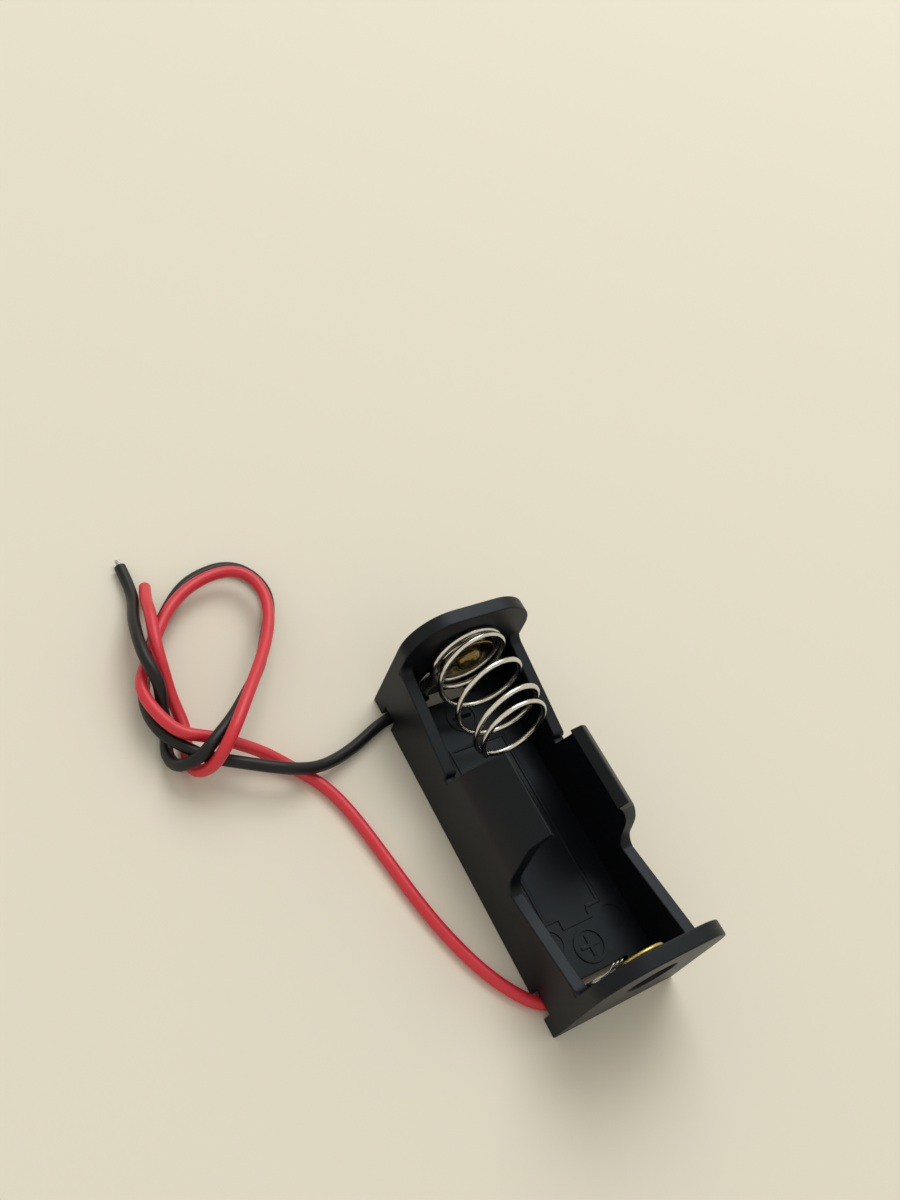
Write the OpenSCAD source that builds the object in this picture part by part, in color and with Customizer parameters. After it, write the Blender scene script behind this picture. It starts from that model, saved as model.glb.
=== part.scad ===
// Open holder for one small cylindrical cell, with two leads knotted together.
// Millimetres. The origin is the middle of the housing's underside; +X runs to the positive end, +Z up.

/* [Housing] */
// Length over the two end plates
body_l = 40; // [39.6:0.1:42]
// Width over the two side walls
body_w = 15.4; // [15.2:0.1:16]
// Height of the end plates
plate_h = 15.4; // [15:0.1:17]
// Thickness of the end plates
plate_t = 1.6; // [1.5:0.1:1.8]
// Thickness of the side walls and of the arms
wall_t = 1.4; // [1.2:0.1:1.5]
// Thickness of the floor
floor_t = 1.8; // [1.6:0.1:2]
// Radius of the end plates' top corners
plate_corner_r = 5; // [4:0.1:5.3]
// Height of the side walls where they meet the end plates
rim_high = 8.2; // [7.8:0.1:8.6]
// Height of the side walls where they meet the arms
rim_low = 6.3; // [6:0.1:7]

/* [Retaining arms] */
// Diameter of the cell that the bay holds
cell_d = 12; // [11.8:0.1:12.2]
// Angle that each arm reaches over the cell, in degrees above its middle
arm_wrap = 52; // [45:1:55]
// Where the arms start, towards the spring
arm_start_x = -6; // [-6.5:0.1:-5.5]
// Where the arms' tips end, towards the positive end
arm_end_x = 5; // [4:0.1:6]

/* [Contact spring] */
// Diameter of the spring wire
spring_wire_d = 0.6; // [0.5:0.05:0.6]
// Angle that the open turns of the spring lean back by
spring_lean = 12; // [0:1:12]

/* [Eyelets] */
// Height of both eyelets' centre above the underside
contact_z = 8.8; // [8.6:0.1:9]
// Radius of the eyelet's tube, which fills its hole in the end plate
eyelet_tube_r = 1.3; // [1.2:0.05:1.4]
// Radius of the flange that holds the spring
eyelet_flange_r = 3.2; // [3:0.1:3.3]
// Radius of the flat flange at the positive end
contact_flange_r = 2.5; // [2.4:0.1:3]
// Radius of the sunk round seat for the rolled end, outside
seat_r = 2.8; // [2.6:0.1:3.2]

/* [Leads] */
// Diameter over the insulation of each lead
lead_d = 1.3; // [1.1:0.1:1.3]
// Diameter of one bare strand
strand_d = 0.2; // [0.16:0.02:0.2]

/* [Hidden] */

eps = 0.01;
half_l = body_l / 2;
half_w = body_w / 2;
bay_r = half_w - wall_t;                 // inside radius under the arms, and half the bay's width
bay_end = half_l - plate_t;              // inside faces of the end plates stand at +-bay_end
cell_z = floor_t + cell_d / 2;           // axis of a seated cell
rim_fillet = 1.0;                        // hollow fillet from rim to end plate
rim_end_r = 0.5;                         // round end of the rim beside each arm
notch_w = 0.5;                           // gap between that end and the arm
notch_z = 5.6;
arm_lean = 1.6;                          // the arm's edge leans back by this much at its tip
arm_top_z = plate_h;                     // above the tips, so that the wrap angle cuts them
foot_r = 1.6;                            // hollow fillet from the arm down to the rim
slot_x = 2.1;                            // floor slots beside the end plates
slot_far_y = 3.2;
lead_notch_h = 1.6;                      // notches in the left wall where the leads pass
seat_depth = 0.8;
arc_steps = 6;

spring_back = 0.55;                      // middle of the clamped turn, in front of the end plate
negative_flange_gap = 0.9;               // behind each flange: spring and strands, or strands alone
positive_flange_gap = 0.3;
negative_flange_t = 0.35;
positive_flange_t = 0.5;
dome_r = 1.5;
dome_h = 0.9;
rolled_r = 2.1;
rolled_t = 0.45;

mark_h = 0.15;                           // raised marks on the floor
mark_root = 0.3;                         // depth that they reach into it
mark_w = 0.35;

// Turns counted from the first large turn, with the coil's radius and place along X at each.
spring_turns = [-2.25, -0.5, 0, 0.5, 1, 1.5, 2, 2.5, 3, 3.5, 4, 4.6];
spring_radius = [2.2, 4, 4.2, 4.25, 4.3, 4.35, 4.35, 4.4, 4.4, 4.2, 4, 3.85];
spring_x = [0, 0.05, 0.2, 0.5, 0.9, 2.2, 4.1, 5.95, 7.6, 9.3, 9.7, 10.45];
spring_drift = [0.035, 0.03];            // sideways and upwards, for each millimetre along X
spring_steps = 20;                       // rings in each turn
spring_sides = 8;

// Routes of the two leads, from the soldered end inside to the free end.
red_route = [
    [17.4, -4.2, 3], [17.4, -5, 1.3], [17.2, -6, 0.7], [16.8, -7.5, 0.7], [15.3, -9.1, 0.7],
    [11.5, -11.6, 0.7], [4.5, -14, 0.7], [-4, -15.4, 0.7], [-11.5, -17, 0.7],
    [-15, -20, 0.7], [-17, -22, 1.5], [-18.5, -24.5, 2.5], [-20, -27.5, 3.5], [-20.5, -29.5, 4],
    [-22, -31, 3.75], [-27.5, -32.5, 3.25], [-30.5, -30, 2.5], [-33.5, -28, 2.25],
    [-36.5, -25.5, 2.25], [-38.5, -22.5, 2.25], [-39.5, -19, 2.25], [-39, -16.5, 2.5],
    [-37, -15, 2.75], [-33.5, -15, 3], [-29.5, -17, 3.75], [-25.5, -20, 5], [-22, -23, 6.25],
    [-19, -25.5, 6.75], [-17, -27.5, 6], [-16.5, -28.5, 4.25], [-17, -29.5, 2.25],
    [-18.5, -30, 1], [-20.5, -29.5, 0.7], [-23, -28.5, 0.7], [-26, -29, 1.5],
    [-29, -29, 3.25], [-31.5, -29, 4.25], [-35.5, -28, 4], [-38, -27.5, 2.5], [-40.5, -26.5, 1]];
black_route = [
    [-17.5, -3, 2.5], [-17.5, -4, 1.5], [-17.2, -6, 0.7], [-16.7, -9, 0.7], [-15, -12.5, 0.7],
    [-13.5, -17.5, 1.75], [-14, -21, 3], [-15, -23.5, 3.5], [-17.5, -27.5, 3], [-18.5, -29, 3],
    [-20, -30, 2.75], [-22, -31.5, 2.5], [-24.5, -32, 2], [-27.5, -31.5, 1.25], [-31, -30, 0.7],
    [-34, -28, 0.7], [-37, -25.5, 0.7], [-40, -22.5, 0.7], [-41, -19, 0.7], [-41, -16.5, 0.7],
    [-39.5, -14.5, 0.7], [-36.5, -13.5, 0.7], [-33.5, -14.5, 0.7], [-30.5, -16.5, 1.5],
    [-26.5, -19, 2.5], [-23.5, -22, 3.75], [-20.5, -25, 5], [-18.5, -28, 5.5],
    [-17.5, -29.5, 4.75], [-18, -31, 3], [-19, -31.5, 1.5], [-21, -31.5, 0.7],
    [-23, -30.5, 0.75], [-25, -30.5, 2], [-27, -30.1, 4.2], [-29.5, -30.8, 4.8],
    [-32.5, -30.5, 4.25], [-36.5, -29.5, 2.5], [-39.5, -28, 1], [-44, -28, 0.7]];
lead_sides = 8;
strand_sides = 6;
tip_r = 0.3;
black_tip_l = 1;
red_tip_l = 0.3;

function unit(v) = v / norm(v);
function arc(centre, r, from, to, steps = arc_steps) =
    [for (i = [0:steps]) let (a = from + (to - from) * i / steps) centre + r * [cos(a), sin(a)]];
// Smooth curve through a route: a cubic spline, taken at its knots.
function smooth(route) =
    let (n = len(route), p = concat([2 * route[0] - route[1]], route, [2 * route[n - 1] - route[n - 2]]))
    [for (i = [1:n]) (p[i - 1] + 4 * p[i] + p[i + 1]) / 6];
function tangent(path, i) = unit(path[min(i + 1, len(path) - 1)] - path[max(i - 1, 0)]);
// Seven places in a plane: one in the middle and six around it.
function seven(pitch) = concat([[0, 0]], [for (a = [0:60:300]) pitch * [cos(a), sin(a)]]);

// A closed round bar that follows path; side[i] is a direction across it at each ring.
module swept(path, side, r, sides) {
    n = len(path);
    rings = [for (i = [0:n - 1]) let (t = tangent(path, i), u = unit(side[i] - (side[i] * t) * t), v = cross(t, u))
        for (k = [0:sides - 1]) path[i] + r * (cos(360 * k / sides) * u + sin(360 * k / sides) * v)];
    walls = [for (i = [0:n - 2], k = [0:sides - 1])
        let (a = i * sides + k, b = i * sides + (k + 1) % sides, c = a + sides, d = b + sides)
        each [[a, c, b], [b, c, d]]];
    near_cap = [for (k = [0:sides - 1]) k];
    far_cap = [for (k = [sides - 1:-1:0]) (n - 1) * sides + k];
    polyhedron(rings, concat([near_cap], walls, [far_cap]), convexity = 10);
}

module cord(path, r, sides) {
    swept(path, [for (i = [0:len(path) - 1]) cross([0, 0, 1], tangent(path, i))], r, sides);
}

module along_x(h, r, fn = 96) {
    rotate([0, 90, 0]) cylinder(h = h, r = r, $fn = fn);
}

// Outline of the side walls and arms, seen from the side: X across, Z up.
module side_outline() {
    rim_x = arm_start_x - notch_w - rim_end_r;
    fillet_x = bay_end - rim_fillet;
    fillet_z = rim_high + rim_fillet;
    foot_x = arm_end_x + arm_lean;
    polygon(concat(
        [[-half_l, 0], [-half_l, fillet_z]],
        arc([-fillet_x, fillet_z], rim_fillet, 180, 270),
        arc([rim_x, rim_low - rim_end_r], rim_end_r, 90, 0),
        [[rim_x + rim_end_r, notch_z], [arm_start_x, notch_z]],
        [[arm_start_x + arm_lean, cell_z + bay_r * sin(arm_wrap)], [arm_start_x + arm_lean + 0.6, arm_top_z]],
        [[arm_end_x, arm_top_z], [arm_end_x, cell_z + bay_r * sin(arm_wrap) - 1], [foot_x - 0.9, cell_z + 2]],
        arc([foot_x + foot_r * 0.7, rim_low + foot_r], foot_r, 190, 264),
        arc([fillet_x, fillet_z], rim_fillet, 270, 360),
        [[half_l, fillet_z], [half_l, 0]]));
}

// Floor, side walls and arms as one block that is round above the cell's axis.
module trough() {
    intersection() {
        rotate([90, 0, 0]) linear_extrude(body_w, center = true) side_outline();
        union() {
            translate([-half_l, -half_w, 0]) cube([body_l, body_w, cell_z]);
            translate([-half_l, 0, cell_z]) along_x(body_l, half_w);
        }
    }
}

// The bay's hollow over a flat floor, and the gap between the arms' tips.
module bay() {
    translate([-bay_end, -bay_r, floor_t]) cube([2 * bay_end, 2 * bay_r, cell_z - floor_t]);
    intersection() {
        translate([-bay_end, 0, cell_z]) along_x(2 * bay_end, bay_r);
        translate([-bay_end, -bay_r, floor_t]) cube([2 * bay_end, 2 * bay_r, plate_h]);
    }
    gap = 2 * body_w * [cos(arm_wrap), sin(arm_wrap)];
    translate([-bay_end, 0, cell_z]) rotate([90, 0, 90]) linear_extrude(2 * bay_end)
        polygon([[0, 0], gap, [-gap.x, gap.y]]);
}

// The end plate at the positive end.
module end_plate() {
    side_h = plate_h - plate_corner_r;
    corner_y = half_w - plate_corner_r;
    translate([bay_end, -half_w, 0]) cube([plate_t, body_w, side_h]);
    translate([bay_end, -corner_y, 0]) cube([plate_t, 2 * corner_y, plate_h]);
    for (side = [-1, 1]) translate([bay_end, side * corner_y, side_h]) along_x(plate_t, plate_corner_r);
}

// Hole for an eyelet through the positive end's plate, with a sunk seat for its rolled end.
module eyelet_hole() {
    translate([half_l - seat_depth, 0, contact_z]) along_x(seat_depth + eps, seat_r);
    translate([bay_end - eps, 0, contact_z]) along_x(plate_t + 2 * eps, eyelet_tube_r, 48);
}

// Slot through the floor beside the positive end's plate, and the notch where its lead passes the wall.
module lead_way(notch_from, notch_to) {
    translate([bay_end - slot_x, -bay_r, -eps]) cube([slot_x, bay_r + slot_far_y, floor_t + 2 * eps]);
    translate([notch_from, -half_w - eps, -eps]) cube([notch_to - notch_from, wall_t + 2 * eps, lead_notch_h]);
}

module ring_mark(x, r) {
    translate([x, 0, floor_t - mark_root]) difference() {
        cylinder(h = mark_root + mark_h, r = r, $fn = 64);
        translate([0, 0, -eps]) cylinder(h = mark_root + mark_h + 2 * eps, r = r - mark_w, $fn = 64);
    }
}

module bar_mark(x0, y0, x1, y1) {
    translate([x0, y0, floor_t - mark_root]) cube([x1 - x0, y1 - y0, mark_root + mark_h]);
}

// Raised marks on the floor: outline of a cell the right way round, a plus and a minus in rings.
module floor_marks() {
    cell_x0 = -10.6;
    cell_x1 = 10.4;
    cell_y = 3.4;
    nub_x = 11.5;
    nub_y = 1.75;
    polarity_x = 13.9;
    for (side = [-1, 1]) {
        bar_mark(cell_x0, side * cell_y - mark_w / 2, cell_x1, side * cell_y + mark_w / 2);
        bar_mark(cell_x1, side * nub_y - mark_w / 2, nub_x, side * nub_y + mark_w / 2);
        bar_mark(cell_x1 - mark_w, min(side * cell_y, side * nub_y), cell_x1, max(side * cell_y, side * nub_y));
        ring_mark(side * polarity_x, 1.85);
        bar_mark(side * polarity_x - mark_w / 2, -1.1, side * polarity_x + mark_w / 2, 1.1);
    }
    bar_mark(cell_x0, -cell_y, cell_x0 + mark_w, cell_y);
    bar_mark(nub_x - mark_w, -nub_y, nub_x, nub_y);
    bar_mark(polarity_x - 1.1, -mark_w / 2, polarity_x + 1.1, mark_w / 2);
}

// Shallow round marks that the mould's ejector pins leave in the floor.
module ejector_marks() {
    for (side = [-1, 1]) translate([12.3, side * 3.9, floor_t - 0.12]) cylinder(h = 1, r = 1.35, $fn = 48);
}

module housing() {
    color("#1b1c1f") {
        difference() {
            union() {
                difference() {
                    trough();
                    bay();
                }
                for (end = [0, 1]) mirror([end, 0, 0]) end_plate();
                floor_marks();
            }
            for (end = [0, 1]) mirror([end, 0, 0]) eyelet_hole();
            lead_way(15.4, 18);
            mirror([1, 0, 0]) lead_way(15.9, 18);
            ejector_marks();
        }
    }
}

// The spring's middle line: a flat spiral held by the eyelet, then open turns, then a closed end.
module contact_spring() {
    first = spring_turns[0];
    last = spring_turns[len(spring_turns) - 1];
    turns = [for (t = [first:1 / spring_steps:last]) t];
    side = [for (t = turns) [0, cos(360 * t), sin(360 * t)]];
    path = [for (i = [0:len(turns) - 1]) let (
            out = lookup(turns[i], [for (k = [0:len(spring_x) - 1]) [spring_turns[k], spring_x[k]]]),
            r = lookup(turns[i], [for (k = [0:len(spring_x) - 1]) [spring_turns[k], spring_radius[k]]]),
            lean = spring_lean * min(max((turns[i] + 1) / 2, 0), 1))
        [-bay_end + spring_back + out - r * side[i].z * sin(lean),
         r * side[i].y + spring_drift.x * out,
         contact_z + r * side[i].z * cos(lean) + spring_drift.y * out]];
    color("#c9c8c2") swept(path, side, spring_wire_d / 2, spring_sides);
}

// One eyelet about +Z: z = 0 is the end plate's inside face, and the flange stands at z = gap.
module eyelet(gap, flange_r, flange_t) {
    web = plate_t - seat_depth;
    difference() {
        union() {
            translate([0, 0, -web - rolled_t]) cylinder(h = rolled_t, r = rolled_r, $fn = 64);
            translate([0, 0, -web - rolled_t]) cylinder(h = web + rolled_t + gap + eps, r = eyelet_tube_r, $fn = 48);
            translate([0, 0, gap]) cylinder(h = flange_t, r = flange_r, $fn = 64);
        }
        translate([0, 0, -web - rolled_t - eps])
            cylinder(h = web + rolled_t + gap, r = eyelet_tube_r - 0.35, $fn = 48);
    }
}

module negative_eyelet() {
    color("#b59a55") translate([-bay_end, 0, contact_z]) rotate([0, 90, 0]) {
        eyelet(negative_flange_gap, eyelet_flange_r, negative_flange_t);
        translate([0, 0, negative_flange_gap + negative_flange_t - eps]) rotate_extrude($fn = 64)
            polygon(concat([[0, 0]], [for (a = [0:15:90]) [dome_r * cos(a), dome_h * sin(a)]]));
    }
}

module positive_eyelet() {
    color("#c8ab52") translate([bay_end, 0, contact_z]) rotate([0, -90, 0])
        eyelet(positive_flange_gap, contact_flange_r, positive_flange_t);
}

module black_lead() {
    color("#26282a") cord(smooth(black_route), lead_d / 2, lead_sides);
}

module red_lead() {
    color("#d0303a") cord(smooth(red_route), lead_d / 2, lead_sides);
}

// Bare strands fan up from the lead's end and lie behind the spring, against the end plate.
module black_lead_strands() {
    gap_x = -bay_end + strand_d / 2 + 0.02;
    start = black_route[0];
    color("#c4beb2") for (i = [0:6]) {
        spot = 1.05 * strand_d * seven(1)[i];
        a = 192 + 11 * i;
        cord([start + [spot.x, 0, spot.y],
              start + [-0.45 + spot.x / 2, 0.1 * i - 0.3, 0.7 + spot.y],
              [gap_x, -3.9 + 0.42 * i, 5.2 - 0.1 * i],
              [gap_x, -3.7 + 0.45 * i, 6.2 - 0.1 * i],
              [gap_x, 2.1 * cos(a), contact_z + 2.1 * sin(a)]], strand_d / 2, strand_sides);
    }
}

// Bare strands rise in the corner as one bundle, turn along the end plate and flatten behind the flange.
module red_lead_strands() {
    gap_x = bay_end - positive_flange_gap / 2;
    start = red_route[0];
    color("#c4beb2") for (i = [0:6]) {
        spot = 1.05 * strand_d * seven(1)[i];
        cord([start + [spot.x, 0, spot.y],
              [17.8 + spot.x, -5.4 + spot.y, 5.4],
              [18 + spot.x, -5.7 + spot.y, 7.4],
              [18 + spot.x, -5 + spot.y, 8.5 + spot.y],
              [18 + spot.x, -3.9, 8.8 + spot.y],
              [gap_x, -3.4, contact_z + 0.22 * (i - 3)],
              [gap_x, -1.5, contact_z + 0.22 * (i - 3)]], strand_d / 2, strand_sides);
    }
}

// Bare end of a lead: a short bar that carries on where the insulation stops.
module lead_tip(route, length) {
    last = route[len(route) - 1];
    out = unit(last - route[len(route) - 2]);
    color("#b9b6ad") cord([last, last + length * out], tip_r, 12);
}

module black_lead_tip() {
    lead_tip(black_route, black_tip_l);
}

module red_lead_tip() {
    lead_tip(red_route, red_tip_l);
}

housing();
contact_spring();
negative_eyelet();
positive_eyelet();
black_lead();
red_lead();
black_lead_strands();
red_lead_strands();
black_lead_tip();
red_lead_tip();
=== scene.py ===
"""Looks of an open holder for one small cell: housing, spring, eyelets and two knotted leads."""

import math
import random

import bmesh
import bpy
from mathutils import Matrix, Vector


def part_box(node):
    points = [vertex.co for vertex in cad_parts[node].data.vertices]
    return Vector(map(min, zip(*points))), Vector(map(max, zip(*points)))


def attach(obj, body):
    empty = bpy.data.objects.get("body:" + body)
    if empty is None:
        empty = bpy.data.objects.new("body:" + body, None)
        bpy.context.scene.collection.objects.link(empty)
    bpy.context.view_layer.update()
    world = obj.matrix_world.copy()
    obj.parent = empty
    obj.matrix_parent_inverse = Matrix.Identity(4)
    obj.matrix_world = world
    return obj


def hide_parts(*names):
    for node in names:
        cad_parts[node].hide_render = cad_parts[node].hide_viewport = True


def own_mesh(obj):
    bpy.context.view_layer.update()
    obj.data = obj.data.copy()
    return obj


bl_info = {
    "name": "Cell Holder",
    "version": (1, 0, 0),
    "blender": (4, 5, 0),
    "location": "View3D > Sidebar > Cell Holder",
    "description": "Dresses a small open cell holder with its contacts and its two leads",
    "category": "Add Mesh",
}

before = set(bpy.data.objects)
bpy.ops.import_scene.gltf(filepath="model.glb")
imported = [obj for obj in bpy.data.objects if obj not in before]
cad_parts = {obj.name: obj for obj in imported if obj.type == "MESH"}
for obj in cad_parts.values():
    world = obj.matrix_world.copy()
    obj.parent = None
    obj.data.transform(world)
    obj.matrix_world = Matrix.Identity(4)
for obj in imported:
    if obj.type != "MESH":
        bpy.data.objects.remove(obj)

MM = 0.001
MAIN_BODY = "holder"

FLOOR_THICKNESS = 1.8 * MM
PLATE_THICKNESS = 1.6 * MM

HOUSING_LOW, HOUSING_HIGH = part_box("housing")
FLOOR_TOP = HOUSING_LOW.z + FLOOR_THICKNESS
PLATE_INSIDE = HOUSING_HIGH.x - PLATE_THICKNESS
CONTACT_Z = sum(corner.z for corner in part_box("positive_eyelet")) / 2

# Routes of the leads in millimetres, from the soldered end inside to the free end.
RED_ROUTE = [
    (17.4, -4.2, 3), (17.4, -5, 1.3), (17.2, -6, 0.7), (16.8, -7.5, 0.7), (15.3, -9.1, 0.7),
    (11.5, -11.6, 0.7), (4.5, -14, 0.7), (-4, -15.4, 0.7), (-11.5, -17, 0.7),
    (-15, -20, 0.7), (-17, -22, 1.5), (-18.5, -24.5, 2.5), (-20, -27.5, 3.5), (-20.5, -29.5, 4),
    (-22, -31, 3.75), (-27.5, -32.5, 3.25), (-30.5, -30, 2.5), (-33.5, -28, 2.25),
    (-36.5, -25.5, 2.25), (-38.5, -22.5, 2.25), (-39.5, -19, 2.25), (-39, -16.5, 2.5),
    (-37, -15, 2.75), (-33.5, -15, 3), (-29.5, -17, 3.75), (-25.5, -20, 5), (-22, -23, 6.25),
    (-19, -25.5, 6.75), (-17, -27.5, 6), (-16.5, -28.5, 4.25), (-17, -29.5, 2.25),
    (-18.5, -30, 1), (-20.5, -29.5, 0.7), (-23, -28.5, 0.7), (-26, -29, 1.5),
    (-29, -29, 3.25), (-31.5, -29, 4.25), (-35.5, -28, 4), (-38, -27.5, 2.5), (-40.5, -26.5, 1),
]
BLACK_ROUTE = [
    (-17.5, -3, 2.5), (-17.5, -4, 1.5), (-17.2, -6, 0.7), (-16.7, -9, 0.7), (-15, -12.5, 0.7),
    (-13.5, -17.5, 1.75), (-14, -21, 3), (-15, -23.5, 3.5), (-17.5, -27.5, 3), (-18.5, -29, 3),
    (-20, -30, 2.75), (-22, -31.5, 2.5), (-24.5, -32, 2), (-27.5, -31.5, 1.25), (-31, -30, 0.7),
    (-34, -28, 0.7), (-37, -25.5, 0.7), (-40, -22.5, 0.7), (-41, -19, 0.7), (-41, -16.5, 0.7),
    (-39.5, -14.5, 0.7), (-36.5, -13.5, 0.7), (-33.5, -14.5, 0.7), (-30.5, -16.5, 1.5),
    (-26.5, -19, 2.5), (-23.5, -22, 3.75), (-20.5, -25, 5), (-18.5, -28, 5.5),
    (-17.5, -29.5, 4.75), (-18, -31, 3), (-19, -31.5, 1.5), (-21, -31.5, 0.7),
    (-23, -30.5, 0.75), (-25, -30.5, 2), (-27, -30.1, 4.2), (-29.5, -30.8, 4.8),
    (-32.5, -30.5, 4.25), (-36.5, -29.5, 2.5), (-39.5, -28, 1), (-44, -28, 0.7),
]
# Where each lead leaves the housing, and its length from end to end, in millimetres.
RED_EXIT = (16.5, -7.7, 0.7)
BLACK_EXIT = (-16.9, -7.7, 0.7)
RED_LENGTH = 135.7
BLACK_LENGTH = 122.5
STRAND_DIAMETER = 0.18
STRAND_PITCH = 0.21

# The spring, as in its solid: turns from the first large one, and the radius and place at each,
# then its sideways and upward drift, its start off the plate and the lean of its open turns.
SPRING_TURNS = (-2.25, -0.5, 0, 0.5, 1, 1.5, 2, 2.5, 3, 3.5, 4, 4.6)
SPRING_RADII = (2.2, 4, 4.2, 4.25, 4.3, 4.35, 4.35, 4.4, 4.4, 4.2, 4, 3.85)
SPRING_PLACES = (0, 0.05, 0.2, 0.5, 0.9, 2.2, 4.1, 5.95, 7.6, 9.3, 9.7, 10.45)
SPRING_DRIFT = (0.035, 0.03)
SPRING_BACK = 0.55
SPRING_LEAN = math.radians(12)


def linear(hex_colour):
    """An sRGB hex colour as the linear RGBA that shaders and lamps take."""
    parts = [int(hex_colour[i : i + 2], 16) / 255 for i in (1, 3, 5)]
    return tuple(c / 12.92 if c <= 0.04045 else ((c + 0.055) / 1.055) ** 2.4 for c in parts) + (1.0,)


def add_node(tree, kind, inputs=None, **settings):
    """Adds a node with its settings. Each input is a value, or the output socket that feeds it."""
    made = tree.nodes.new(kind)
    for name, value in settings.items():
        setattr(made, name, value)
    for name, value in (inputs or {}).items():
        if isinstance(value, bpy.types.NodeSocket):
            tree.links.new(value, made.inputs[name])
        else:
            made.inputs[name].default_value = value
    return made


def grain_size(millimetres):
    """Noise scale at which one grain is about this wide, on Object coordinates in metres."""
    return 1 / (millimetres * MM)


def new_material(name):
    """An empty node material, with its tree and its Object coordinates."""
    material = bpy.data.materials.new(name)
    material.use_nodes = True
    tree = material.node_tree
    tree.nodes.clear()
    place = add_node(tree, "ShaderNodeTexCoord").outputs["Object"]
    return material, tree, place


def close_material(tree, shader):
    add_node(tree, "ShaderNodeOutputMaterial", {"Surface": shader.outputs["BSDF"]})


def drifting_finish(name, tones, patches, gloss, relief, surface):
    """A finish whose tone and gloss drift between its two tones and its two roughnesses.

    patches is the drift's grain in millimetres and its noise detail. relief is the same for the fine
    bumps, then their height in millimetres and their strength. surface holds other shader inputs.
    """
    material, tree, place = new_material(name)
    patch, patch_detail = patches
    grain, grain_detail, height, strength = relief
    drift = add_node(
        tree, "ShaderNodeTexNoise", {"Vector": place, "Scale": grain_size(patch), "Detail": patch_detail}
    ).outputs["Fac"]
    tint = add_node(
        tree, "ShaderNodeMix", {"Factor": drift, "A": tones[0], "B": tones[1]}, data_type="RGBA"
    )
    roughness = add_node(
        tree, "ShaderNodeMapRange", {"Value": drift, "To Min": gloss[0], "To Max": gloss[1]}
    )
    bumps = add_node(
        tree, "ShaderNodeTexNoise", {"Vector": place, "Scale": grain_size(grain), "Detail": grain_detail}
    )
    normal = add_node(
        tree,
        "ShaderNodeBump",
        {"Height": bumps.outputs["Fac"], "Distance": height * MM, "Strength": strength},
    )
    shader = add_node(
        tree,
        "ShaderNodeBsdfPrincipled",
        {
            "Base Color": tint.outputs["Result"],
            "Roughness": roughness.outputs["Result"],
            "Normal": normal.outputs["Normal"],
            **surface,
        },
    )
    close_material(tree, shader)
    return material


def scaled(colour, share):
    """The colour with its light scaled by this share."""
    return tuple(share * c for c in colour[:3]) + (1,)


def moulded_abs(colour):
    """Black ABS from a spark-eroded mould: a satin surface with a fine even grain, which
    spreads highlights, and slow changes in gloss where the melt cooled unevenly."""
    return drifting_finish(
        "moulded ABS, black satin",
        tones=(colour, scaled(colour, 1.5)),
        patches=(5, 3),
        gloss=(0.36, 0.5),
        relief=(0.12, 2, 0.006, 0.5),
        # The bluish Specular Tint is a painted reflection: it gives the highlights the colour of a cool
        # sky that is not in the scene.
        surface={"IOR": 1.54, "Specular IOR Level": 0.21, "Specular Tint": (0.8, 0.91, 1.0, 1.0)},
    )


def plated_metal(name, colour, dull, gloss, patch):
    """A bare metal finish: colour and gloss drift between clean and dull patches this wide."""
    return drifting_finish(
        name,
        tones=(colour, dull),
        patches=(patch, 4),
        gloss=gloss,
        relief=(0.1, 2, 0.003, 0.4),
        surface={"Metallic": 1.0},
    )


def pvc_insulation(name, colour, sheen):
    """Extruded PVC: a soft satin skin, slightly wavy from the die, that shows a broad pale sheen."""
    return drifting_finish(
        name,
        tones=(colour, scaled(colour, 0.82)),
        patches=(1.5, 3),
        gloss=(0.34, 0.48),
        relief=(0.5, 1, 0.01, 0.4),
        surface={"IOR": 1.52, "Specular IOR Level": sheen},
    )


def deselect_all():
    bpy.ops.object.select_all(action="DESELECT")


def make_active(piece):
    deselect_all()
    piece.select_set(True)
    bpy.context.view_layer.objects.active = piece


def settle_piece(piece, name, material):
    """Applies the piece's place, names it, paints it and lets it ride on the housing's body."""
    make_active(piece)
    bpy.ops.object.transform_apply(location=True, rotation=True, scale=True)
    piece.name = name
    piece.data.name = name
    piece.data.materials.clear()
    piece.data.materials.append(material)
    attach(piece, MAIN_BODY)
    return piece


def smooth_tube(name, paths, radius, kind="POLY", sides=4, steps=6):
    """A curve object with a round section along each path, in metres."""
    curve = bpy.data.curves.new(name, "CURVE")
    curve.dimensions = "3D"
    curve.bevel_depth = radius
    curve.bevel_resolution = sides
    curve.resolution_u = steps
    curve.use_fill_caps = True
    for path in paths:
        spline = curve.splines.new(kind)
        spline.points.add(len(path) - 1)
        for point, place in zip(spline.points, path):
            point.co = (*place, 1)
        if kind == "NURBS":
            spline.order_u = 4
        spline.use_smooth = True
    tube = bpy.data.objects.new(name, curve)
    bpy.context.collection.objects.link(tube)
    return tube


def held_ends(path):
    """The path with a point added past each end, so that the smooth curve runs from end to end."""
    first, last = 2 * path[0] - path[1], 2 * path[-1] - path[-2]
    return [first, *path, last]


def in_metres(route):
    return [Vector(point) * MM for point in route]


def as_mesh(piece):
    make_active(piece)
    bpy.ops.object.convert(target="MESH")
    return bpy.context.view_layer.objects.active


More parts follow.
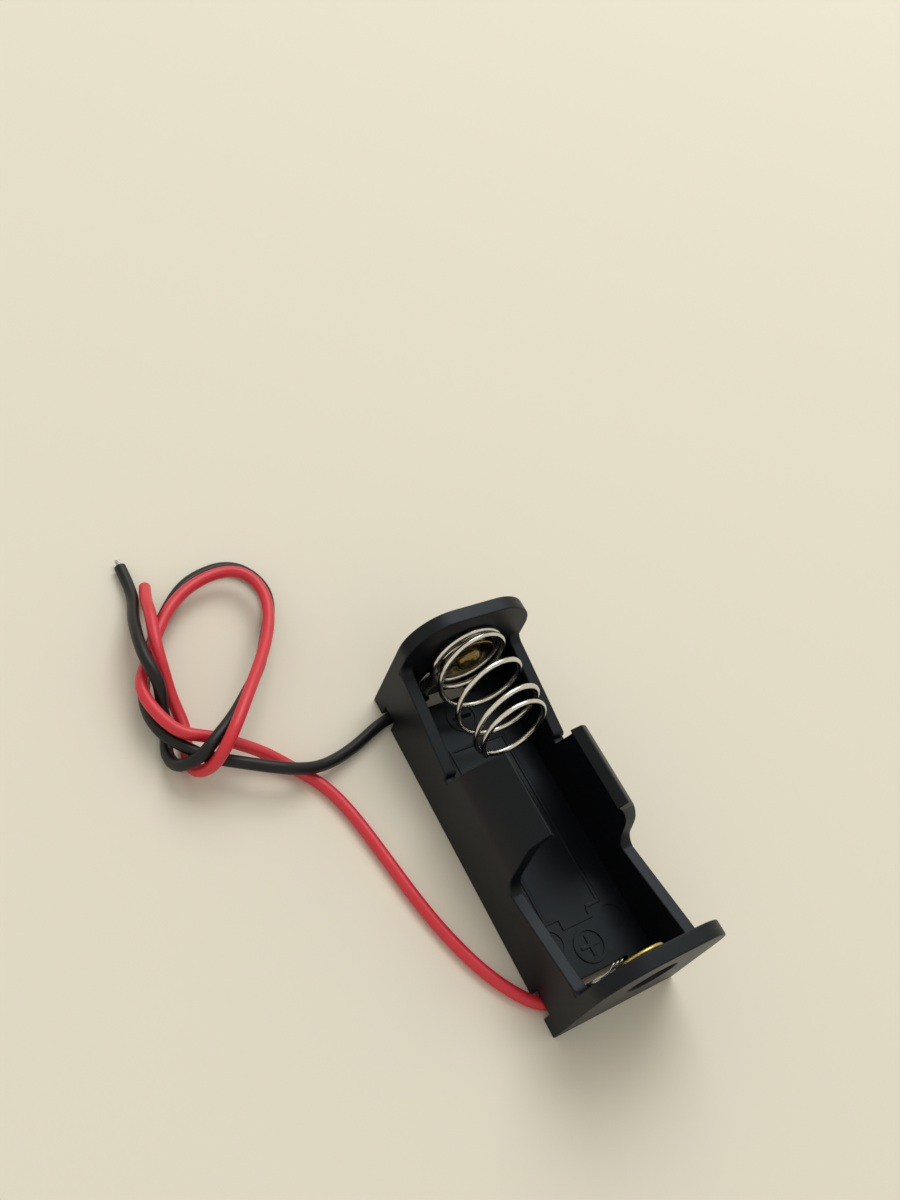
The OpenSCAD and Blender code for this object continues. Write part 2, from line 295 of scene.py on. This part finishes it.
def turned_part(outline, segments=64):
    """Turns an outline of (radius, height) points about Z. It starts and ends on the axis."""
    deselect_all()
    start_radius, start_height = outline[1]
    bpy.ops.mesh.primitive_circle_add(
        vertices=segments, radius=start_radius, fill_type="TRIFAN", location=(0, 0, start_height)
    )
    part = bpy.context.view_layer.objects.active
    bpy.ops.object.transform_apply(location=True, rotation=True, scale=True)
    bpy.ops.object.mode_set(mode="EDIT")
    bpy.ops.mesh.select_mode(type="EDGE")
    bpy.ops.mesh.select_all(action="DESELECT")
    bpy.ops.mesh.select_non_manifold(extend=False, use_wire=False, use_multi_face=False,
                                     use_non_contiguous=False, use_verts=False)
    radius, height = start_radius, start_height
    for next_radius, next_height in outline[2:-1]:
        rise = {"value": (0, 0, next_height - height)}
        bpy.ops.mesh.extrude_edges_move(TRANSFORM_OT_translate=rise)
        share = next_radius / radius
        bpy.ops.transform.resize(value=(share, share, 1), center_override=(0, 0, next_height))
        radius, height = next_radius, next_height
    bpy.ops.mesh.extrude_edges_move(TRANSFORM_OT_translate={"value": (0, 0, outline[-1][1] - height)})
    bpy.ops.mesh.merge(type="CENTER")
    bpy.ops.mesh.select_all(action="SELECT")
    bpy.ops.mesh.normals_make_consistent(inside=False)
    bpy.ops.object.mode_set(mode="OBJECT")
    bpy.ops.object.shade_smooth_by_angle(angle=math.radians(40))
    return part


def arc_points(centre, radius, start, stop, count):
    """Points of an arc in an outline, at these angles in degrees."""
    for step in range(count + 1):
        angle = math.radians(start + (stop - start) * step / count)
        yield (centre[0] + radius * math.cos(angle), centre[1] + radius * math.sin(angle))


def between(table, values, place):
    """A smooth curve through the table's values, read at one place."""
    last = len(table) - 1
    span = max(i for i in range(last) if table[i] <= place or i == 0)

    def slope(i):
        low, high = max(i - 1, 0), min(i + 1, last)
        return (values[high] - values[low]) / (table[high] - table[low])

    width = table[span + 1] - table[span]
    share = (place - table[span]) / width
    rest = 1 - share
    return (
        values[span] * rest * rest * (1 + 2 * share)
        + values[span + 1] * share * share * (3 - 2 * share)
        + width * share * rest * (slope(span) * rest - slope(span + 1) * share)
    )


class CellHolderSettings(bpy.types.PropertyGroup):
    """Sizes and colours of the holder's looks."""

    edge_radius: bpy.props.FloatProperty(
        name="Edge radius", description="Round on the housing's outer edges", default=0.15 * MM,
        min=0, unit="LENGTH",
    )
    housing_colour: bpy.props.FloatVectorProperty(
        name="Housing", description="Colour of the housing's plastic", default=linear("#090b10"),
        size=4, subtype="COLOR", min=0, max=1,
    )
    lead_diameter: bpy.props.FloatProperty(
        name="Lead diameter", description="Diameter over a lead's insulation", default=1.3 * MM,
        min=0, unit="LENGTH",
    )
    red_colour: bpy.props.FloatVectorProperty(
        name="Red lead", description="Colour of the red insulation", default=linear("#d92636"),
        size=4, subtype="COLOR", min=0, max=1,
    )
    black_colour: bpy.props.FloatVectorProperty(
        name="Black lead", description="Colour of the black insulation", default=linear("#0e1012"),
        size=4, subtype="COLOR", min=0, max=1,
    )
    wire_diameter: bpy.props.FloatProperty(
        name="Spring wire", description="Diameter of the contact spring's wire", default=0.6 * MM,
        min=0, unit="LENGTH",
    )
    nickel_colour: bpy.props.FloatVectorProperty(
        name="Nickel", description="Colour of the spring's plating", default=linear("#e2e3e2"),
        size=4, subtype="COLOR", min=0, max=1,
    )
    brass_colour: bpy.props.FloatVectorProperty(
        name="Brass", description="Colour of the eyelets", default=linear("#ddc878"),
        size=4, subtype="COLOR", min=0, max=1,
    )
    tin_colour: bpy.props.FloatVectorProperty(
        name="Tinned copper", description="Colour of the bare strands", default=linear("#dcdcda"),
        size=4, subtype="COLOR", min=0, max=1,
    )
    floor_colour: bpy.props.FloatVectorProperty(
        name="Floor", description="Colour of the floor and backdrop", default=linear("#e5decb"),
        size=4, subtype="COLOR", min=0, max=1,
    )


class CELLHOLDER_OT_stage(bpy.types.Operator):
    """Sets up the camera, the lamps, the backdrop and the floor"""

    bl_idname = "cellholder.stage"
    bl_label = "Stage"

    def execute(self, context):
        settings = context.scene.cell_holder
        self.add_camera(context)
        self.add_lamps(context)
        self.add_backdrop(context, settings.floor_colour)
        self.add_floor(settings.floor_colour)
        return {"FINISHED"}

    def add_camera(self, context):
        """Looks down along the holder from beyond its positive end, with the horizon tilted."""
        place = Vector((28.3, -62.3, 108.2)) * MM
        target = Vector((-29.4, 7.6, 0)) * MM
        roll, lens = math.radians(27.3), 35.15
        bpy.ops.object.camera_add(location=place)
        camera = context.active_object
        turn = (target - place).to_track_quat("-Z", "Y").to_matrix() @ Matrix.Rotation(roll, 3, "Z")
        camera.rotation_euler = turn.to_euler()
        camera.data.lens = lens
        camera.data.clip_start = 0.01
        context.scene.camera = camera
        context.scene.view_settings.view_transform = "Standard"

    def add_lamps(self, context):
        """One large soft lamp high behind the right wall, and a weak one from the front."""
        for name, place, size, watts in (
            ("window", (-0.5, 0.35, 0.8), 0.7, 5.4),
            ("fill", (0.25, -0.35, 0.3), 0.4, 0.06),
        ):
            bpy.ops.object.light_add(type="AREA", location=place)
            lamp = context.active_object
            lamp.name = name
            lamp.rotation_euler = (-Vector(place)).to_track_quat("-Z", "Y").to_euler()
            lamp.data.size = size
            lamp.data.energy = watts
            lamp.data.color = (0.95, 0.98, 1.0)

    def add_backdrop(self, context, colour):
        """A world that shows the floor's colour to the camera and in metal, and lights evenly."""
        world = bpy.data.worlds.new("studio")
        context.scene.world = world
        world.use_nodes = True
        tree = world.node_tree
        tree.nodes.clear()
        rays = add_node(tree, "ShaderNodeLightPath").outputs
        mirrored = add_node(
            tree,
            "ShaderNodeMath",
            {0: rays["Is Glossy Ray"], 1: rays["Is Transmission Ray"]},
            operation="MAXIMUM",
        )
        shown = add_node(
            tree,
            "ShaderNodeMath",
            {0: rays["Is Camera Ray"], 1: mirrored.outputs[0]},
            operation="MAXIMUM",
        )
        ambient = add_node(tree, "ShaderNodeBackground", {"Color": linear("#f3f0ea"), "Strength": 0.67})
        visible = add_node(tree, "ShaderNodeBackground", {"Color": colour, "Strength": 1.0})
        mix = add_node(
            tree,
            "ShaderNodeMixShader",
            {0: shown.outputs[0], 1: ambient.outputs[0], 2: visible.outputs[0]},
        )
        add_node(tree, "ShaderNodeOutputWorld", {"Surface": mix.outputs[0]})

    def add_floor(self, colour):
        """A plain matt surface under the holder."""
        deselect_all()
        bpy.ops.mesh.primitive_plane_add(size=3, location=(0, 0, 0))
        floor = bpy.context.active_object
        floor.name = "floor"
        material, tree, _place = new_material("matt painted board")
        shader = add_node(
            tree,
            "ShaderNodeBsdfPrincipled",
            {"Base Color": colour, "Roughness": 0.9, "Specular IOR Level": 0.1},
        )
        close_material(tree, shader)
        floor.data.materials.append(material)


class CELLHOLDER_OT_leads(bpy.types.Operator):
    """Lays the red and the black lead along their routes, with their bare ends"""

    bl_idname = "cellholder.leads"
    bl_label = "Leads"

    def execute(self, context):
        settings = context.scene.cell_holder
        tin = plated_metal(
            "tinned copper strand", settings.tin_colour, linear("#8f8775"), (0.3, 0.45), 0.6
        )
        for name, route, exit_point, length, colour, sheen, bare in (
            ("red_lead", RED_ROUTE, RED_EXIT, RED_LENGTH, settings.red_colour, 0.5, 0.25),
            ("black_lead", BLACK_ROUTE, BLACK_EXIT, BLACK_LENGTH, settings.black_colour, 0.3, 0.95),
        ):
            path = in_metres(route)
            shade = name.split("_")[0]
            skin = name + "_insulation"
            tip = self.twisted_tip(path, bare * MM)
            settle_piece(tip, name + "_strand_end", tin)
            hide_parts(name + "_tip")
            lead = smooth_tube(skin, [held_ends(path)], settings.lead_diameter / 2, "NURBS", 6, 8)
            material = pvc_insulation("PVC insulation, " + shade, tuple(colour), sheen)
            settle_piece(lead, skin, material)
            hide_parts(name)
        return {"FINISHED"}

    def twisted_tip(self, path, bare):
        """Seven fine strands, twisted together, that stand out of the insulation's cut end."""
        inside = 0.3 * MM
        strand_radius, pitch = 0.1 * MM, 0.2 * MM
        twist_per_metre, steps = 2200, 8
        out = (path[-1] - path[-2]).normalized()
        side = out.cross(Vector((0, 0, 1))).normalized()
        rise = side.cross(out)
        start = path[-1] - out * inside
        strands = [[start, path[-1] + out * bare]]
        for lay in range(6):
            points = []
            for step in range(steps + 1):
                along = (bare + inside) * step / steps
                angle = math.radians(60 * lay) + twist_per_metre * along
                aside = math.cos(angle) * side + math.sin(angle) * rise
                points.append(start + out * along + pitch * aside)
            strands.append(points)
        return as_mesh(smooth_tube("strand_end", strands, strand_radius, sides=2))


class CELLHOLDER_OT_housing(bpy.types.Operator):
    """Rounds the housing's edges and gives it its moulded finish"""

    bl_idname = "cellholder.housing"
    bl_label = "Housing"

    def execute(self, context):
        settings = context.scene.cell_holder
        shell = bpy.data.objects.new("housing_moulding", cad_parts["housing"].data.copy())
        context.collection.objects.link(shell)
        make_active(shell)
        bpy.ops.object.mode_set(mode="EDIT")
        bpy.ops.mesh.select_all(action="SELECT")
        bpy.ops.mesh.remove_doubles(threshold=0.001 * MM)
        bpy.ops.mesh.dissolve_limited(angle_limit=math.radians(0.5))
        bpy.ops.mesh.select_mode(type="EDGE")
        self.round_edges(shell, settings.edge_radius)
        bpy.ops.object.mode_set(mode="OBJECT")
        bpy.ops.object.shade_smooth_by_angle(angle=math.radians(40))
        even = shell.modifiers.new("even shading", "WEIGHTED_NORMAL")
        even.keep_sharp = True
        bpy.ops.object.modifier_apply(modifier=even.name)
        plastic = moulded_abs(tuple(settings.housing_colour))
        settle_piece(shell, "housing_moulding", plastic)
        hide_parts("housing")
        return {"FINISHED"}

    def is_rounded(self, place):
        """True above the low marks of the bay floor, and on the housing's four outer sides."""
        near = 0.01 * MM
        return (
            place.z > FLOOR_TOP + 0.5 * MM
            or min(abs(place.y - HOUSING_LOW.y), abs(place.y - HOUSING_HIGH.y)) < near
            or min(abs(place.x - HOUSING_LOW.x), abs(place.x - HOUSING_HIGH.x)) < near
        )

    def round_edges(self, shell, radius):
        """Bevels the sharp outward edges, without those of the floor's marks and slots."""
        sharp = math.radians(30)
        bpy.ops.mesh.select_all(action="DESELECT")
        mesh = bmesh.from_edit_mesh(shell.data)
        for edge in mesh.edges:
            if len(edge.link_faces) != 2 or not edge.is_convex:
                continue
            middle = (edge.verts[0].co + edge.verts[1].co) / 2
            if edge.calc_face_angle(0) > sharp and self.is_rounded(middle):
                edge.select = True
        bmesh.update_edit_mesh(shell.data)
        bpy.ops.mesh.bevel(offset=radius, offset_type="OFFSET", segments=3, profile=0.5, affect="EDGES",
                           clamp_overlap=False)


class CELLHOLDER_OT_spring(bpy.types.Operator):
    """Winds the contact spring"""

    bl_idname = "cellholder.spring"
    bl_label = "Contact spring"

    def execute(self, context):
        settings = context.scene.cell_holder
        nickel = plated_metal(
            "nickel-plated spring steel", settings.nickel_colour, linear("#c3bfb6"), (0.1, 0.22), 0.8
        )
        coil = smooth_tube("spring_wire", [self.coil_path()], settings.wire_diameter / 2, sides=6)
        wire = as_mesh(coil)
        settle_piece(wire, "contact_spring_coil", nickel)
        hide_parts("contact_spring")
        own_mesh(wire)
        return {"FINISHED"}

    def coil_path(self):
        """The wire's middle line: a flat spiral under the eyelet, open turns, then close end turns."""
        points_per_turn = 36
        first, last = SPRING_TURNS[0], SPRING_TURNS[-1]
        count = round((last - first) * points_per_turn)
        path = []
        for step in range(count + 1):
            turn = first + (last - first) * step / count
            out = between(SPRING_TURNS, SPRING_PLACES, turn)
            radius = between(SPRING_TURNS, SPRING_RADII, turn)
            lean = SPRING_LEAN * min(max((turn + 1) / 2, 0), 1)
            rise = radius * math.sin(math.tau * turn)
            path.append((
                -PLATE_INSIDE / MM + SPRING_BACK + out - rise * math.sin(lean),
                radius * math.cos(math.tau * turn) + SPRING_DRIFT[0] * out,
                CONTACT_Z / MM + rise * math.cos(lean) + SPRING_DRIFT[1] * out,
            ))
        return in_metres(path)


class CELLHOLDER_OT_eyelets(bpy.types.Operator):
    """Turns the two brass eyelets: a domed one under the spring and a flat contact"""

    bl_idname = "cellholder.eyelets"
    bl_label = "Eyelets"

    def execute(self, context):
        settings = context.scene.cell_holder
        brass = plated_metal("drawn brass", settings.brass_colour, linear("#a8904c"), (0.25, 0.4), 1.2)
        # Painted shade: the negative eyelet's brass is darkened, with darker patches, to stand in for
        # the dark surroundings it reflects.
        darkened_for_shade = plated_metal(
            "drawn brass, tarnished", linear("#a3905a"), linear("#4f4226"), (0.16, 0.3), 1.2
        )
        for node, end, finish, sizes in (
            ("negative_eyelet", -1, darkened_for_shade, (0.9, 3.2, 0.35, 0.9)),
            ("positive_eyelet", 1, brass, (0.3, 2.5, 0.5, 0)),
        ):
            eyelet = turned_part([(r * MM, h * MM) for r, h in self.outline(*sizes)])
            eyelet.rotation_euler = (0, math.radians(-90 * end), 0)
            eyelet.location = (end * PLATE_INSIDE, 0, CONTACT_Z)
            settle_piece(eyelet, node + "_brass", finish)
            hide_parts(node)
        return {"FINISHED"}

    def outline(self, gap, flange_r, flange_t, dome):
        """Radius and height from inside the tube, round the rolled end and flange, to the middle."""
        bore, tube, web = 0.95, 1.3, 0.8
        rolled = 0.225
        rolled_r = 2.1 - rolled
        face, rim = gap + flange_t, 0.12
        dome_r = 1.5
        return [
            (0, gap - 0.1),
            (bore, gap - 0.1),
            (bore, -web - 0.2),
            (bore + 0.1, -web - 0.4),
            *arc_points((rolled_r, -web - rolled), rolled, 250, 450, 8),
            (tube, -web),
            (tube, gap - rim),
            (tube + rim, gap),
            (flange_r - rim, gap),
            *arc_points((flange_r - rim, gap + flange_t / 2), flange_t / 2, -90, 90, 6),
            (flange_r - 0.35, face - 0.06),
            (2, face - 0.1),
            (1.7, face),
            *((dome_r * math.cos(math.radians(a)), face + dome * math.sin(math.radians(a)))
              for a in (8, 20, 32, 45, 58, 70, 80)),
            (0, face + dome),
        ]


class CELLHOLDER_OT_strands(bpy.types.Operator):
    """Spreads the bare strands from each lead's end to its eyelet"""

    bl_idname = "cellholder.strands"
    bl_label = "Bare strands"

    def execute(self, context):
        settings = context.scene.cell_holder
        tin = plated_metal("tinned copper", settings.tin_colour, linear("#9c9a94"), (0.22, 0.36), 0.5)
        rng = random.Random(7)
        for node, strands in (
            ("black_lead_strands", self.black_fan(rng)),
            ("red_lead_strands", self.red_bundle(rng)),
        ):
            bundle = as_mesh(smooth_tube(node, strands, STRAND_DIAMETER / 2 * MM, "NURBS", 2, 6))
            settle_piece(bundle, node + "_fine", tin)
            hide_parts(node)
        return {"FINISHED"}

    def spots(self):
        """Places of seven strands in a round bundle, in millimetres."""
        angles = [math.radians(angle) for angle in range(0, 360, 60)]
        ring = [(STRAND_PITCH * math.cos(angle), STRAND_PITCH * math.sin(angle)) for angle in angles]
        return [(0, 0), *ring]

    def black_fan(self, rng):
        """Strands fan up from the lead and lie behind the spring, against the end plate."""
        gap_x = -PLATE_INSIDE / MM + 0.13
        level = CONTACT_Z / MM
        start = Vector(BLACK_ROUTE[0])
        fan = []
        for i, (across, up) in enumerate(self.spots()):
            angle = math.radians(188 + 13 * i + rng.uniform(-4, 4))
            reach = 2.1 + rng.uniform(0, 0.5)
            lift = rng.uniform(0, 0.25)
            fan.append(held_ends(in_metres([
                start + Vector((across, 0, up)),
                start + Vector((-0.35 + across / 2, 0.15 * i - 0.65, 0.8 + up)),
                (
                    gap_x + 0.3 + 3 * lift,
                    -4.4 + 0.5 * i + rng.uniform(-0.4, 0.4),
                    4.3 + rng.uniform(-0.5, 0.5),
                ),
                (
                    gap_x + 2 * lift,
                    -4.5 + 0.62 * i + rng.uniform(-0.3, 0.3),
                    5.8 + rng.uniform(-0.4, 0.4),
                ),
                (gap_x, -3.3 + 0.45 * i, 6.3 - 0.1 * i),
                (gap_x, reach * math.cos(angle), level + reach * math.sin(angle)),
            ])))
        return fan

    def red_bundle(self, rng):
        """Strands rise in the corner and turn along the end plate, to the flange or into a curl."""
        gap_x = PLATE_INSIDE / MM - 0.15
        start = Vector(RED_ROUTE[0])
        level = CONTACT_Z / MM
        curled = (1, 3, 5)
        bundle = []
        for i, (across, up) in enumerate(self.spots()):
            risen = [
                start + Vector((across, 0, up)),
                (17.8 + across, -5.4 + up, 5.4),
                (18 + across, -5.7 + up, 7.4 + rng.uniform(-0.2, 0.2)),
                (18 + across, -5.2 + up, 8.5 + up),
                (18 + across, -4.4, level + up),
            ]
            if i in curled:
                end = -4.5 + 0.25 * i
                run = [
                    (17.8 + across, end, level + 0.4 + up),
                    (17.6, end + 0.35, level + 1.2 + 0.1 * i),
                    (17.4, end + 0.7, level + 1.3),
                    (17.35, end + 0.85, level + 0.9),
                ]
            else:
                run = [
                    (gap_x, -3.4, level + 0.22 * (i - 3)),
                    (gap_x, -1.5, level + 0.22 * (i - 3)),
                ]
            bundle.append(held_ends(in_metres(risen + run)))
        return bundle


class CELLHOLDER_PT_panel(bpy.types.Panel):
    """Sizes, colours and build steps of the cell holder"""

    bl_label = "Cell Holder"
    bl_idname = "CELLHOLDER_PT_panel"
    bl_space_type = "VIEW_3D"
    bl_region_type = "UI"
    bl_category = "Cell Holder"

    def draw(self, context):
        settings = context.scene.cell_holder
        for name in CellHolderSettings.__annotations__:
            self.layout.prop(settings, name)
        for step in STEPS:
            self.layout.operator(step.bl_idname)


STEPS = (
    CELLHOLDER_OT_stage,
    CELLHOLDER_OT_leads,
    CELLHOLDER_OT_housing,
    CELLHOLDER_OT_spring,
    CELLHOLDER_OT_eyelets,
    CELLHOLDER_OT_strands,
)


def register():
    for made in (CellHolderSettings, *STEPS, CELLHOLDER_PT_panel):
        bpy.utils.register_class(made)
    bpy.types.Scene.cell_holder = bpy.props.PointerProperty(type=CellHolderSettings)


def unregister():
    del bpy.types.Scene.cell_holder
    for made in (CELLHOLDER_PT_panel, *reversed(STEPS), CellHolderSettings):
        bpy.utils.unregister_class(made)


def main():
    register()
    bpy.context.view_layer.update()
    bpy.ops.cellholder.stage()
    bpy.ops.cellholder.leads()
    bpy.ops.cellholder.housing()
    bpy.ops.cellholder.spring()
    bpy.ops.cellholder.eyelets()
    bpy.ops.cellholder.strands()


if __name__ == "__main__":
    main()
